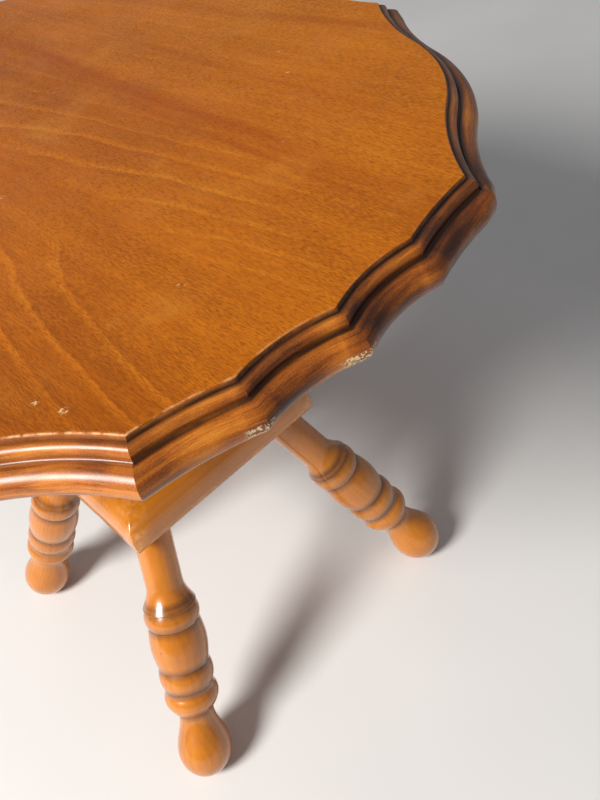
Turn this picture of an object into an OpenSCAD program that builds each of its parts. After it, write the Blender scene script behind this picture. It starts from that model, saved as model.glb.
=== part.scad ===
// Tilt top table: a scalloped, moulded top that tilts on two pins in a head block,
// carried by a turned column on a square plinth with four splayed turned legs.
// Millimetres, +Z up, origin on the floor under the middle of the top.
// The front is the side towards -Y. The top tips up on its left side (-X).

/* [Table] */
// Height from the floor to the flat surface of the top
table_height = 522; // [500:1:560]
// Distance of the column in front of the top's middle
column_forward = 86; // [60:1:90]

/* [Top outline: edge of the flat surface] */
// Distance from the middle to the front and back centre cusps
front_cusp_y = 387.5; // [380:0.5:395]
// Half spacing of the outer pair of cusps on the front and back
front_cusp_x = 62; // [55:1:70]
// How far the outer pair of cusps sits behind the centre cusp
front_cusp_setback = 5.5; // [3:0.5:9]
// Distance from the middle to the right front corner, sideways
right_corner_x = 122.5; // [118:0.5:126]
// Distance from the middle to the left front corner, sideways
left_corner_x = 116.8; // [113:0.1:121]
// Distance from the middle to the right front corner, forwards
right_corner_y = 369.5; // [366:0.1:373]
// Distance from the middle to the left front corner, forwards
left_corner_y = 367.7; // [364:0.1:371]
// Distance from the middle to the left and right corners
side_corner_x = 296; // [288:1:302]
// Half length of the left and right scalloped sides
side_corner_y = 146; // [138:1:154]
// Distance from the middle to the left and right centre cusps
side_cusp_x = 302.5; // [298:0.5:310]
// Spacing of the cusps on the left and right sides
side_cusp_step = 73; // [69:1:77]
// How far the outer cusps on the sides sit in from the centre cusp
side_cusp_setback = 1.6; // [0.5:0.1:3]
// Hollow of an inner scallop
scallop_hollow = 4.7; // [2:0.1:8]
// Hollow of an outer scallop, next to a corner
outer_scallop_hollow = 2; // [1:0.1:4]
// Radius of the bulge in each serpentine corner
bulge_radius = 171; // [155:1:185]
// Steepest angle of the right front and left back serpentines from their chords
shallow_swing = 17.4; // [16:0.1:20]
// Steepest angle of the left front and right back serpentines from their chords
deep_swing = 19.4; // [18:0.1:22]
// Angle at which a serpentine first turns inward at its end
serpentine_lead = 3.6; // [2:0.1:6]
// That angle where the deep serpentines meet the front and back scallops
deep_lead = 10.4; // [7:0.1:12]

/* [Top edge moulding] */
// Thickness of the core and its moulded edge
core_thickness = 27.2; // [26:0.1:30]
// Thickness of the veneer on each face
veneer_thickness = 0.8; // [0.5:0.1:1.2]
// Width of the solid edge strip that lies under the face veneer
edge_strip_width = 26; // [20:1:32]
// Radius of the small upper bead
upper_bead_radius = 4.7; // [4.2:0.1:5]
// Radius of the large lower bead
lower_bead_radius = 9.1; // [8.7:0.1:9.3]

/* [Battens] */
// Length of each batten
batten_length = 470; // [420:5:500]
// Thickness of each batten
batten_thickness = 22; // [18:1:26]
// Depth of each batten below the top
batten_depth = 34; // [32:1:40]

/* [Head block and pivot] */
// Length of the head block to the left of the column
head_left = 95; // [85:1:105]
// Width of the head block between the battens
head_width = 120; // [100:1:130]
// Thickness of the head block
head_thickness = 34.7; // [32:0.1:38]
// Distance of the pivot pins to the right of the column
pivot_x = 85; // [84:0.5:90]
// Distance of the pivot pins below the underside of the top
pivot_drop = 20; // [19:0.5:22]
// Diameter of the pivot pins
pivot_d = 10; // [8:0.5:12]

/* [Column] */
// Largest radius of the column's vase
column_vase_r = 33; // [28:1:36]
// Radius of the column's foot bead
column_foot_r = 37; // [33:1:40]

/* [Plinth] */
// Width of the square plinth
plinth_width = 205; // [200:1:205]
// Thickness of the plinth
plinth_thickness = 35; // [32:1:38]
// Height of the plinth's underside above the floor
plinth_z = 242; // [239:1:245]
// Radius that rounds over the plinth's upper edges
plinth_round = 23; // [18:1:26]

/* [Legs] */
// Sideways position of each foot from the middle, both ways
foot_offset = 151.8; // [146:0.2:156]
// Sideways lean of a leg for each unit of height, both ways
leg_lean = 0.37; // [0.35:0.005:0.38]
// Largest radius of the foot's bulb
bulb_r = 25.3; // [24:0.1:26]
// Radius of the plain neck under the plinth
leg_neck_r = 16.7; // [15:0.1:18]
// Diameter of the tenon that joins a leg to the plinth
leg_tenon_d = 24; // [20:1:26]
// Depth of the flat worn under each foot
foot_flat = 0.8; // [0.5:0.1:1.5]

/* [Catch] */
// Diameter of the catch bolt
bolt_d = 8; // [7:0.5:9]
// Travel of the catch bolt
bolt_travel = 8; // [6:0.5:9]

/* [Hidden] */
$fn = 64;

// Running and glue clearances
run_gap = 0.05;
glue_gap = 0.05;
part_gap = 0.3;
eps = 1;

veneer_z = table_height - veneer_thickness;
core_z = veneer_z - core_thickness;
underside_z = core_z - veneer_thickness;
head_z = underside_z - part_gap - head_thickness;
plinth_top_z = plinth_z + plinth_thickness;
pivot_z = underside_z - pivot_drop;
batten_y = head_width / 2 + part_gap + batten_thickness / 2;

// ---- Outline of the flat surface -------------------------------------------

function unit(v) = v / norm(v);
// Outward side of a line that runs anticlockwise round the top
function right_of(v) = [v.y, -v.x];

// Arc from p to q with height "rise" over its chord (negative is hollow), without q
function arc(p, q, rise, n) =
    let (
        half = norm(q - p) / 2,
        r = (half * half + rise * rise) / (2 * rise),
        u = unit(q - p),
        w = right_of(u),
        middle = (p + q) / 2 + w * (rise - r),
        h = asin(half / r)
    )
    [for (i = [0:n - 1]) let (a = -h + 2 * h * i / n) middle + r * (w * cos(a) + u * sin(a))];

// Hollow, bulge and hollow that meet smoothly, from p to q, without q. The curve turns
// inward by lead_p at p and by lead_q at q, and crosses its chord's direction by swing.
function serpentine(p, q, lead_p, lead_q, swing) =
    let (
        u = unit(q - p),
        w = right_of(u),
        share = (cos(lead_p) - cos(swing)) / (cos(lead_q) - cos(swing)),
        run_p = sin(lead_p) + sin(swing),
        run_q = sin(lead_q) + sin(swing),
        r_p = (norm(q - p) - 2 * bulge_radius * sin(swing)) / (run_p + share * run_q),
        r_q = share * r_p,
        rise = r_p * (cos(lead_p) - cos(swing)),
        k1 = p + u * r_p * run_p + w * rise,
        k2 = q - u * r_q * run_q + w * rise
    )
    concat(
        arc(p, k1, -r_p * (1 - cos((lead_p + swing) / 2)), 9),
        arc(k1, k2, bulge_radius * (1 - cos(swing)), 10),
        arc(k2, q, -r_q * (1 - cos((lead_q + swing) / 2)), 9)
    );

// Scallops through a list of cusps, without the last one
function scallops(keys, rises) = [
    for (i = [0:len(keys) - 2]) each arc(keys[i], keys[i + 1], -rises[i], 7)
];

function opposite(points) = [for (p = points) -p];

front_keys = [[-left_corner_x, -left_corner_y],
    [-front_cusp_x, front_cusp_setback - front_cusp_y],
    [0, -front_cusp_y],
    [front_cusp_x, front_cusp_setback - front_cusp_y],
    [right_corner_x, -right_corner_y]];
front_rises = [outer_scallop_hollow, scallop_hollow, scallop_hollow, outer_scallop_hollow];
side_keys = [[side_corner_x, -side_corner_y],
    [side_cusp_x - side_cusp_setback, -side_cusp_step],
    [side_cusp_x, 0],
    [side_cusp_x - side_cusp_setback, side_cusp_step],
    [side_corner_x, side_corner_y]];
side_rises = [scallop_hollow, scallop_hollow, scallop_hollow, scallop_hollow];

front_run = scallops(front_keys, front_rises);
front_right_run =
    serpentine(front_keys[4], side_keys[0], serpentine_lead, serpentine_lead, shallow_swing);
right_run = scallops(side_keys, side_rises);
back_right_run = serpentine(side_keys[4], -front_keys[0], serpentine_lead, deep_lead, deep_swing);
RUNS = [front_run, front_right_run, right_run, back_right_run,
    opposite(front_run), opposite(front_right_run), opposite(right_run), opposite(back_right_run)];
OUTLINE = [for (run = RUNS) each run];

// Index at which each run starts
function run_start(k) = k == 0 ? 0 : run_start(k - 1) + len(RUNS[k - 1]);
function point_at(i) = OUTLINE[i % len(OUTLINE)];

// Mitre vector: moving a point by d times this offsets both its neighbours' lines by d
function mitre(i) =
    let (
        before = right_of(unit(point_at(i) - point_at(i + len(OUTLINE) - 1))),
        after = right_of(unit(point_at(i + 1) - point_at(i)))
    )
    (before + after) / (1 + before * after);

function is_run_start(i) = len([for (k = [0:len(RUNS) - 1]) if (run_start(k) == i % len(OUTLINE)) k]) > 0;

// Direction out from an oval about as long and wide as the top
function oval_out(p) = unit([p.x / pow(side_cusp_x, 2), p.y / pow(front_cusp_y, 2)]);

// Inner edge of the solid edge strip, which is the outline of the core
function inner_at(i) = is_run_start(i)
    ? point_at(i) - edge_strip_width * mitre(i)
    : point_at(i) - edge_strip_width * oval_out(point_at(i));
CORE_OUTLINE = [for (i = [0:len(OUTLINE) - 1]) inner_at(i)];

// ---- Moulded edge ------------------------------------------------------------

// Arc in the moulding's section, as [distance out, height]
function section_arc(c, r, from, to, n) =
    [for (i = [0:n]) let (a = from + (to - from) * i / n) c + r * [cos(a), sin(a)]];

quirk_depth = 2.8;
upper_bead_c = [1.9, -quirk_depth - upper_bead_radius];
fillet_drop = 1.2;
cove_radius = 1.8;
cove_c = [upper_bead_c.x + upper_bead_radius + cove_radius, upper_bead_c.y - fillet_drop];
lower_bead_c = [9.6, -core_thickness - veneer_thickness + lower_bead_radius];
// Section of the moulding from the flat surface out, down and under
MOULDING = concat(
    [[0, -veneer_thickness], [0.9, -quirk_depth]],
    section_arc(upper_bead_c, upper_bead_radius, 95, 0, 4),
    section_arc(cove_c, cove_radius, 180, 250, 2),
    section_arc(lower_bead_c, lower_bead_radius, 100, -90, 9)
);

// One length of moulded edge along run k, mitred at both ends
module edge_strip(k) {
    first = run_start(k);
    count = len(RUNS[k]);
    loop = 2 + len(MOULDING);
    points = [
        for (i = [first:first + count]) each concat(
            [[inner_at(i).x, inner_at(i).y, core_z], [inner_at(i).x, inner_at(i).y, veneer_z]],
            [for (s = MOULDING) let (p = point_at(i) + s.x * mitre(i)) [p.x, p.y, table_height + s.y]]
        )
    ];
    sides = [
        for (r = [0:count - 1], j = [0:loop - 1])
            let (
                a = r * loop + j,
                b = a + loop,
                c = (r + 1) * loop + (j + 1) % loop,
                d = r * loop + (j + 1) % loop
            )
            each [[a, b, c], [a, c, d]]
    ];
    start_cap = [for (j = [0:loop - 1]) j];
    end_cap = [for (j = [loop - 1:-1:0]) count * loop + j];
    color("sienna") polyhedron(points, concat([start_cap], sides, [end_cap]));
}

// ---- Screws --------------------------------------------------------------------

// Countersunk wood screw along +Z, with its flat head face at the origin facing -Z
screw_head_rim = 0.3;
module wood_screw(d, length) {
    head_r = d;
    head_h = d * 0.6;
    slot_w = d * 0.25;
    tip = d * 1.2;
    difference() {
        rotate_extrude($fn = 32)
            polygon([[0, 0], [head_r, 0], [head_r, screw_head_rim], [d / 2, head_h],
                [d / 2, length - tip], [0, length]]);
        translate([-head_r - eps, -slot_w / 2, -eps])
            cube([2 * (head_r + eps), slot_w, eps + d * 0.25]);
    }
}

// Hole that takes that screw: countersink, shank and point, with clearance g
module screw_hole(d, length, g) {
    head_r = d + g;
    translate([0, 0, -eps]) cylinder(r = head_r, h = eps + screw_head_rim, $fn = 32);
    translate([0, 0, screw_head_rim])
        cylinder(r1 = head_r, r2 = d / 2 + g, h = d * 0.6 - screw_head_rim, $fn = 32);
    cylinder(d = d + 2 * g, h = length + g, $fn = 32);
}

// ---- Top -------------------------------------------------------------------------

// Pieces below the top are drawn about the column's middle line
module at_column() {
    translate([0, -column_forward, 0]) children();
}

batten_screw_d = 5;
batten_screw_length = 42;
// Depth of the counterbore that sinks the screws into the battens
batten_counterbore = 8;
BATTEN_SCREW_X = [-195, -105, 20, 120, 195];

module at_batten_screws() {
    for (side = [-1, 1], x = BATTEN_SCREW_X)
        translate([x, side * batten_y, underside_z - batten_depth + batten_counterbore]) children();
}

catch_plate_l = 66;
catch_plate_w = 30;
catch_plate_t = 1.6;
catch_barrel_w = 16;
catch_x = -head_left - 7 - catch_plate_l / 2;
bolt_z = underside_z - catch_plate_t - 7.4;
catch_screw_d = 3;
catch_screw_length = 12;

module at_catch_screws() {
    for (sx = [-1, 1], sy = [-1, 1])
        translate([catch_x + sx * (catch_plate_l / 2 - 5), sy * (catch_plate_w / 2 - 3.6),
            underside_z - catch_plate_t]) children();
}

module face_veneer() {
    color("peru") translate([0, 0, veneer_z]) linear_extrude(veneer_thickness) polygon(OUTLINE);
}

module top_core() {
    color("burlywood") difference() {
        translate([0, 0, core_z]) linear_extrude(core_thickness) polygon(CORE_OUTLINE);
        at_column() at_batten_screws() screw_hole(batten_screw_d, batten_screw_length, glue_gap);
        at_column() at_catch_screws() screw_hole(catch_screw_d, catch_screw_length, glue_gap);
    }
}

module backing_veneer() {
    color("tan") difference() {
        translate([0, 0, underside_z]) linear_extrude(veneer_thickness) polygon(OUTLINE);
        at_column() at_batten_screws() screw_hole(batten_screw_d, batten_screw_length, glue_gap);
        at_column() at_catch_screws() screw_hole(catch_screw_d, catch_screw_length, glue_gap);
    }
}

// A batten lies across the grain, with tapered ends and a bore for its pivot pin
module batten(side) {
    taper = 60;
    end_depth = 14;
    half = batten_length / 2;
    y0 = side * batten_y - batten_thickness / 2;
    color("chocolate") difference() {
        translate([0, y0 + batten_thickness, underside_z]) rotate([90, 0, 0])
            linear_extrude(batten_thickness)
                polygon([[-half, 0], [-half, -end_depth], [taper - half, -batten_depth],
                    [half - taper, -batten_depth], [half, -end_depth], [half, 0]]);
        translate([pivot_x, y0 - eps, pivot_z]) rotate([-90, 0, 0])
            cylinder(d = pivot_d + 2 * run_gap, h = batten_thickness + 2 * eps);
        at_batten_screws() {
            screw_hole(batten_screw_d, batten_screw_length, glue_gap);
            translate([0, 0, -batten_counterbore - eps])
                cylinder(r = batten_screw_d + 0.5, h = batten_counterbore + eps, $fn = 32);
        }
    }
}

module batten_screws() {
    color("silver") at_batten_screws() wood_screw(batten_screw_d, batten_screw_length);
}

// ---- Pivot and head block -----------------------------------------------------------

pin_reach = 34;
pin_length = pin_reach + part_gap + batten_thickness - 1;

module pivot_pin(side) {
    color("dimgray") translate([pivot_x, side * (head_width / 2 - pin_reach), pivot_z])
        rotate([-90 * side, 0, 0]) rotate_extrude()
            polygon([[0, 0], [pivot_d / 2 - 0.8, 0], [pivot_d / 2, 0.8], [pivot_d / 2, pin_length - 0.8],
                [pivot_d / 2 - 0.8, pin_length], [0, pin_length]]);
}

nose_r = pivot_drop - part_gap - 0.2;
head_right = pivot_x + nose_r;
head_edge_round = 14;
column_tenon_d = 30;
head_tenon_h = 20;
head_screw_d = 7;
head_screw_length = 75;
strike_w = 26;
strike_h = 22;
strike_t = 1.6;
strike_screw_d = 2.5;
strike_screw_length = 12;
strike_hole_d = bolt_d + 1.2;

module at_head_screw() {
    translate([0, 0, head_z + head_thickness]) rotate([180, 0, 0]) children();
}

module at_strike_screws() {
    for (sy = [-1, 1])
        translate([-head_left - strike_t, sy * 9.2, bolt_z]) rotate([0, 90, 0]) children();
}

// Side view of the head block: a round nose about the pins on the right
module head_side() {
    difference() {
        square([head_left + head_right, head_thickness]);
        translate([head_left + pivot_x, pivot_z - head_z]) difference() {
            square([nose_r + eps, nose_r + eps]);
            circle(r = nose_r);
        }
    }
}

// Block section with rounded lower edges
module head_section() {
    difference() {
        translate([-head_width / 2, 0]) square([head_width, head_thickness]);
        for (s = [-1, 1])
            translate([s * (head_width / 2 - head_edge_round), head_edge_round]) difference() {
                translate([s > 0 ? 0 : -head_edge_round - eps, -head_edge_round - eps])
                    square([head_edge_round + eps, head_edge_round + eps]);
                circle(r = head_edge_round);
            }
    }
}

module head_block() {
    color("sandybrown") difference() {
        intersection() {
            translate([-head_left, head_width / 2, head_z]) rotate([90, 0, 0])
                linear_extrude(head_width) head_side();
            translate([-head_left, 0, head_z]) rotate([90, 0, 90])
                linear_extrude(head_left + head_right) head_section();
        }
        for (side = [-1, 1])
            translate([pivot_x, side * (head_width / 2 - pin_reach - 1), pivot_z])
                rotate([-90 * side, 0, 0]) cylinder(d = pivot_d, h = pin_reach + 1 + eps);
        translate([0, 0, head_z - eps])
            cylinder(d = column_tenon_d + 2 * glue_gap, h = head_tenon_h + eps + 1);
        at_head_screw() screw_hole(head_screw_d, head_screw_length, glue_gap);
        translate([-head_left - eps, 0, bolt_z]) rotate([0, 90, 0])
            cylinder(d = strike_hole_d, h = eps + bolt_travel + 5);
        at_strike_screws() screw_hole(strike_screw_d, strike_screw_length, glue_gap);
    }
}

module head_screw() {
    color("silver") at_head_screw() wood_screw(head_screw_d, head_screw_length);
}

// ---- Column ---------------------------------------------------------------------------

// Turned details as [radius, height] points. A bead rises between two grooves.
function bead(z0, z1, groove_r, top_r, n) =
    [for (i = [0:n]) let (t = i / n) [groove_r + (top_r - groove_r) * sin(180 * t), z0 + (z1 - z0) * t]];
// Smooth S curve from radius r0 at z0 to r1 at z1, without its first point
function ogee(z0, z1, r0, r1, n) =
    [for (i = [1:n]) let (t = i / n) [r0 + (r1 - r0) * (1 - cos(180 * t)) / 2, z0 + (z1 - z0) * t]];
// Hollow curve that leaves r0 steeply and runs out at r1, without its first point
function cove(z0, z1, r0, r1, n) =
    [for (i = [1:n]) let (t = i / n) [r1 + (r0 - r1) * (1 - sin(90 * t)), z0 + (z1 - z0) * t]];

column_h = head_z - plinth_top_z;
column_waist_r = 19;
column_ring_r = 27;
column_collar_r = 30;
column_tenon_h = plinth_thickness;
wedge_kerf = 3;
wedge_depth = 24;

// Heights are shares of the column's height, so the turning follows it
COLUMN_PROFILE = let (h = column_h) concat(
    [[0, 0], [column_foot_r - 2, 0]],
    bead(0.01 * h, 0.1 * h, column_foot_r - 2, column_foot_r + 1, 8),
    [[column_foot_r - 6, 0.105 * h]],
    cove(0.105 * h, 0.2 * h, column_foot_r - 6, column_waist_r + 2, 8),
    bead(0.2 * h, 0.24 * h, column_waist_r + 2, column_waist_r + 5, 6),
    ogee(0.24 * h, 0.44 * h, column_waist_r + 2, column_vase_r, 12),
    ogee(0.44 * h, 0.74 * h, column_vase_r, column_waist_r, 14),
    bead(0.745 * h, 0.79 * h, column_waist_r + 3, column_ring_r - 2, 6),
    bead(0.79 * h, 0.85 * h, column_ring_r - 4, column_ring_r, 6),
    ogee(0.85 * h, 0.93 * h, column_ring_r - 4, column_waist_r + 3, 6),
    [[column_collar_r - 1, 0.935 * h], [column_collar_r, 0.95 * h], [column_collar_r, h], [0, h]]
);

module column() {
    color("sandybrown") difference() {
        union() {
            translate([0, 0, plinth_top_z]) rotate_extrude() polygon(COLUMN_PROFILE);
            translate([0, 0, plinth_top_z - column_tenon_h])
                cylinder(d = column_tenon_d, h = column_tenon_h + eps);
            translate([0, 0, head_z - eps]) cylinder(d = column_tenon_d, h = head_tenon_h + eps);
        }
        at_head_screw() screw_hole(head_screw_d, head_screw_length, glue_gap);
        wedge_shape(glue_gap, eps);
    }
}

// Tapered wedge driven into the column's lower tenon from below
module wedge_shape(g, below) {
    half = wedge_kerf / 2 + g;
    z0 = plinth_top_z - column_tenon_h;
    translate([0, column_tenon_d / 2 + (below > 0 ? eps : -1), z0]) rotate([90, 0, 0])
        linear_extrude(column_tenon_d + (below > 0 ? 2 * eps : -2))
            polygon([[-half, -below], [half, -below], [half, 0], [0.4 + g, wedge_depth],
                [-0.4 - g, wedge_depth], [-half, 0]]);
}

module column_wedge() {
    color("saddlebrown") wedge_shape(0, 0);
}

// ---- Plinth -----------------------------------------------------------------------------

leg_tilt = atan(leg_lean * sqrt(2));
leg_tenon_h = 28;

// Section of the plinth with its upper edges rounded over
module plinth_section() {
    half = plinth_width / 2;
    flat = plinth_thickness - plinth_round;
    translate([-half, 0]) square([plinth_width, flat]);
    translate([plinth_round - half, 0]) square([plinth_width - 2 * plinth_round, plinth_thickness]);
    for (s = [-1, 1])
        intersection() {
            translate([s * (half - plinth_round), flat]) circle(r = plinth_round, $fn = 96);
            translate([-half, 0]) square([plinth_width, plinth_thickness]);
        }
}

module plinth() {
    color("sandybrown") difference() {
        translate([0, 0, plinth_z]) intersection() {
            translate([0, plinth_width / 2, 0]) rotate([90, 0, 0])
                linear_extrude(plinth_width) plinth_section();
            translate([-plinth_width / 2, 0, 0]) rotate([90, 0, 90])
                linear_extrude(plinth_width) plinth_section();
        }
        for (sx = [-1, 1], sy = [-1, 1])
            at_leg(sx, sy) translate([0, 0, leg_shoulder - 20])
                cylinder(d = leg_tenon_d + 2 * glue_gap, h = 20 + leg_tenon_h + 1);
        translate([0, 0, plinth_z - eps])
            cylinder(d = column_tenon_d + 2 * glue_gap, h = plinth_thickness + 2 * eps);
    }
}

// ---- Legs ---------------------------------------------------------------------------------

// Heights along the leg from the foot's widest part: each turned detail ends at a groove
bulb_below = 29;
foot_neck_z = 39;
bead_3_z = 47;
groove_4_z = 72;
groove_3_z = 94;
groove_2_z = 136;
groove_1_z = 153;
neck_z = 175;
foot_neck_r = 16.5;
groove_r = 22.9;
bead_r = 25.2;
barrel_r = 26;
ring_r = 23.9;
leg_top = 262;
// Height of the blocks that trim a leg level at both ends
leg_cut = 60;

LEG_PROFILE = concat(
    [for (i = [0:10]) let (a = -90 + 9 * i) [bulb_r * cos(a), bulb_below * sin(a)]],
    ogee(0, foot_neck_z, bulb_r, foot_neck_r, 12),
    [[foot_neck_r + 0.4, bead_3_z - 2.5]],
    [for (p = bead(bead_3_z, groove_4_z, foot_neck_r + 3.5, bead_r, 10))
        p.y > (bead_3_z + groove_4_z) / 2 ? [max(p.x, groove_r), p.y] : p],
    bead(groove_4_z, groove_3_z, groove_r, bead_r, 8),
    bead(groove_3_z, groove_2_z, groove_r + 0.4, barrel_r, 12),
    bead(groove_2_z, groove_1_z, groove_r + 0.2, bead_r, 8),
    [[ring_r, groove_1_z + 1.6]],
    cove(groove_1_z + 1.6, neck_z, ring_r, leg_neck_r, 8),
    [[leg_neck_r + 0.2, leg_top], [0, leg_top]]
);

// Height of the foot's widest part that lets the flat under the tilted leg meet the floor
foot_z = -min([for (p = LEG_PROFILE) p.y * cos(leg_tilt) - p.x * sin(leg_tilt)]) - foot_flat;
// Distance along the leg from there to the plinth's underside
leg_shoulder = (plinth_z - foot_z) / cos(leg_tilt);

module at_leg(sx, sy) {
    translate([sx * foot_offset, sy * foot_offset, foot_z])
        rotate([0, 0, atan2(-sy, -sx)]) rotate([0, leg_tilt, 0]) children();
}

module leg(sx, sy) {
    color("sandybrown") union() {
        difference() {
            at_leg(sx, sy) rotate_extrude() polygon(LEG_PROFILE);
            for (z = [plinth_z, -leg_cut])
                translate([-plinth_width, -plinth_width, z])
                    cube([2 * plinth_width, 2 * plinth_width, leg_cut]);
        }
        at_leg(sx, sy) translate([0, 0, leg_shoulder - 15])
            cylinder(d = leg_tenon_d, h = 15 + leg_tenon_h);
    }
}

// ---- Catch ------------------------------------------------------------------------------------

bolt_length = 56;
// Left end of the bolt when drawn back
bolt_x = -head_left - strike_t - 1.4 - bolt_length;
knob_x = catch_x - 8;
knob_slot_w = 4.8;
knob_stem_d = 4;

module catch_plate() {
    barrel_bottom = bolt_z - catch_barrel_w / 2;
    color("goldenrod") difference() {
        union() {
            translate([catch_x - catch_plate_l / 2, -catch_plate_w / 2, underside_z - catch_plate_t])
                cube([catch_plate_l, catch_plate_w, catch_plate_t]);
            translate([catch_x - catch_plate_l / 2 + 6, 0, bolt_z]) rotate([0, 90, 0])
                cylinder(d = catch_barrel_w, h = catch_plate_l - 12);
        }
        translate([catch_x - catch_plate_l, -catch_plate_w, underside_z])
            cube([2 * catch_plate_l, 2 * catch_plate_w, catch_barrel_w]);
        translate([catch_x - catch_plate_l, 0, bolt_z]) rotate([0, 90, 0])
            cylinder(d = bolt_d + 2 * run_gap, h = 2 * catch_plate_l);
        translate([knob_x - knob_slot_w / 2, -knob_slot_w / 2, barrel_bottom - eps])
            cube([bolt_travel + knob_slot_w, knob_slot_w, catch_barrel_w / 2 + eps]);
        at_catch_screws() screw_hole(catch_screw_d, catch_screw_length, glue_gap);
    }
}

module catch_bolt() {
    nose = 2;
    color("darkgoldenrod") difference() {
        translate([bolt_x, 0, bolt_z]) rotate([0, 90, 0]) rotate_extrude()
            polygon([[0, 0], [bolt_d / 2 - 0.6, 0], [bolt_d / 2, 0.6], [bolt_d / 2, bolt_length - nose],
                [bolt_d / 2 - nose, bolt_length], [0, bolt_length]]);
        translate([knob_x, 0, bolt_z - bolt_d]) cylinder(d = knob_stem_d - 1, h = bolt_d + 1.5, $fn = 32);
    }
}

// Turned knob that screws up into the bolt through the slot
module catch_knob() {
    stem = 7.6;
    ball_r = 6;
    drop = bolt_d / 2;
    color("goldenrod") translate([knob_x, 0, bolt_z]) rotate([180, 0, 0]) rotate_extrude($fn = 48)
        polygon(concat(
            [[0, -1], [knob_stem_d / 2 - 0.5, -1], [knob_stem_d / 2 - 0.5, drop], [knob_stem_d / 2, drop],
                [knob_stem_d / 2, drop + stem - 1]],
            [for (i = [0:8]) let (a = -60 + 150 * i / 8)
                [ball_r * cos(a) * 0.9, drop + stem + ball_r * (0.8 + sin(a) * 0.8)]]
        ));
}

module catch_screws() {
    color("darkgoldenrod") at_catch_screws() wood_screw(catch_screw_d, catch_screw_length);
}

module strike_plate() {
    color("goldenrod") difference() {
        translate([-head_left - strike_t, -strike_w / 2, bolt_z - strike_h / 2 - 4])
            cube([strike_t, strike_w, strike_h]);
        translate([-head_left - 2 * strike_t, 0, bolt_z]) rotate([0, 90, 0])
            cylinder(d = strike_hole_d, h = 3 * strike_t);
        at_strike_screws() screw_hole(strike_screw_d, strike_screw_length, glue_gap);
    }
}

module strike_screws() {
    color("darkgoldenrod") at_strike_screws() wood_screw(strike_screw_d, strike_screw_length);
}

// ---- Assembly -----------------------------------------------------------------------------------

face_veneer();
top_core();
backing_veneer();
edge_strip(0);  // edge_front
edge_strip(1);  // edge_corner_front_right
edge_strip(2);  // edge_right
edge_strip(3);  // edge_corner_back_right
edge_strip(4);  // edge_back
edge_strip(5);  // edge_corner_back_left
edge_strip(6);  // edge_left
edge_strip(7);  // edge_corner_front_left
at_column() batten(-1);  // batten_front
at_column() batten(1);  // batten_back
at_column() batten_screws();
at_column() pivot_pin(-1);  // pivot_pin_front
at_column() pivot_pin(1);  // pivot_pin_back
at_column() head_block();
at_column() head_screw();
at_column() column();
at_column() column_wedge();
at_column() plinth();
at_column() leg(-1, -1);  // leg_front_left
at_column() leg(1, -1);  // leg_front_right
at_column() leg(-1, 1);  // leg_back_left
at_column() leg(1, 1);  // leg_back_right
at_column() catch_plate();
at_column() catch_bolt();
at_column() catch_knob();
at_column() catch_screws();
at_column() strike_plate();
at_column() strike_screws();
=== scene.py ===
"""Looks of the tilt top table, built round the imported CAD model. Metres, in the CAD model's own frame."""

import math

import bmesh
import bpy
from mathutils import Matrix, Vector, noise


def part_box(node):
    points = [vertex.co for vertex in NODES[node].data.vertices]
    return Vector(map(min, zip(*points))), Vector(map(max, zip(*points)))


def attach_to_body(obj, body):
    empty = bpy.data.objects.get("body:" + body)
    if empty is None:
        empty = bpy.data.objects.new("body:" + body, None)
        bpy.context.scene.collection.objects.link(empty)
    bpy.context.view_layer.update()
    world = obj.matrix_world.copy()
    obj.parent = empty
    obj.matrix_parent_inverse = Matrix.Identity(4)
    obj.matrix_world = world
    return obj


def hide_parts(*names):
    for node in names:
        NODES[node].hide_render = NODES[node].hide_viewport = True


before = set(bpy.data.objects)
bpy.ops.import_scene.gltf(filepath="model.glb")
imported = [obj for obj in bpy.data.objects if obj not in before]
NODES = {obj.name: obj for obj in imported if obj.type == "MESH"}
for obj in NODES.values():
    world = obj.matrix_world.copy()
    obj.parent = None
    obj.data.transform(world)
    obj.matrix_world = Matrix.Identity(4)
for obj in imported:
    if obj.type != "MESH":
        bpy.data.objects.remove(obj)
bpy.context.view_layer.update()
MM = 0.001

TOP_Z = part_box("face_veneer")[1].z
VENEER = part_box("face_veneer")[1].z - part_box("face_veneer")[0].z
CORE_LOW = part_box("top_core")[0].z
PLINTH_LOW, PLINTH_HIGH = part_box("plinth")[0].z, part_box("plinth")[1].z
HEAD_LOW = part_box("head_block")[0].z
BASE_Y = (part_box("plinth")[0].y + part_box("plinth")[1].y) / 2  # the column stands in front of the top's middle


# ---- Node helpers ---------------------------------------------------------------------


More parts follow.
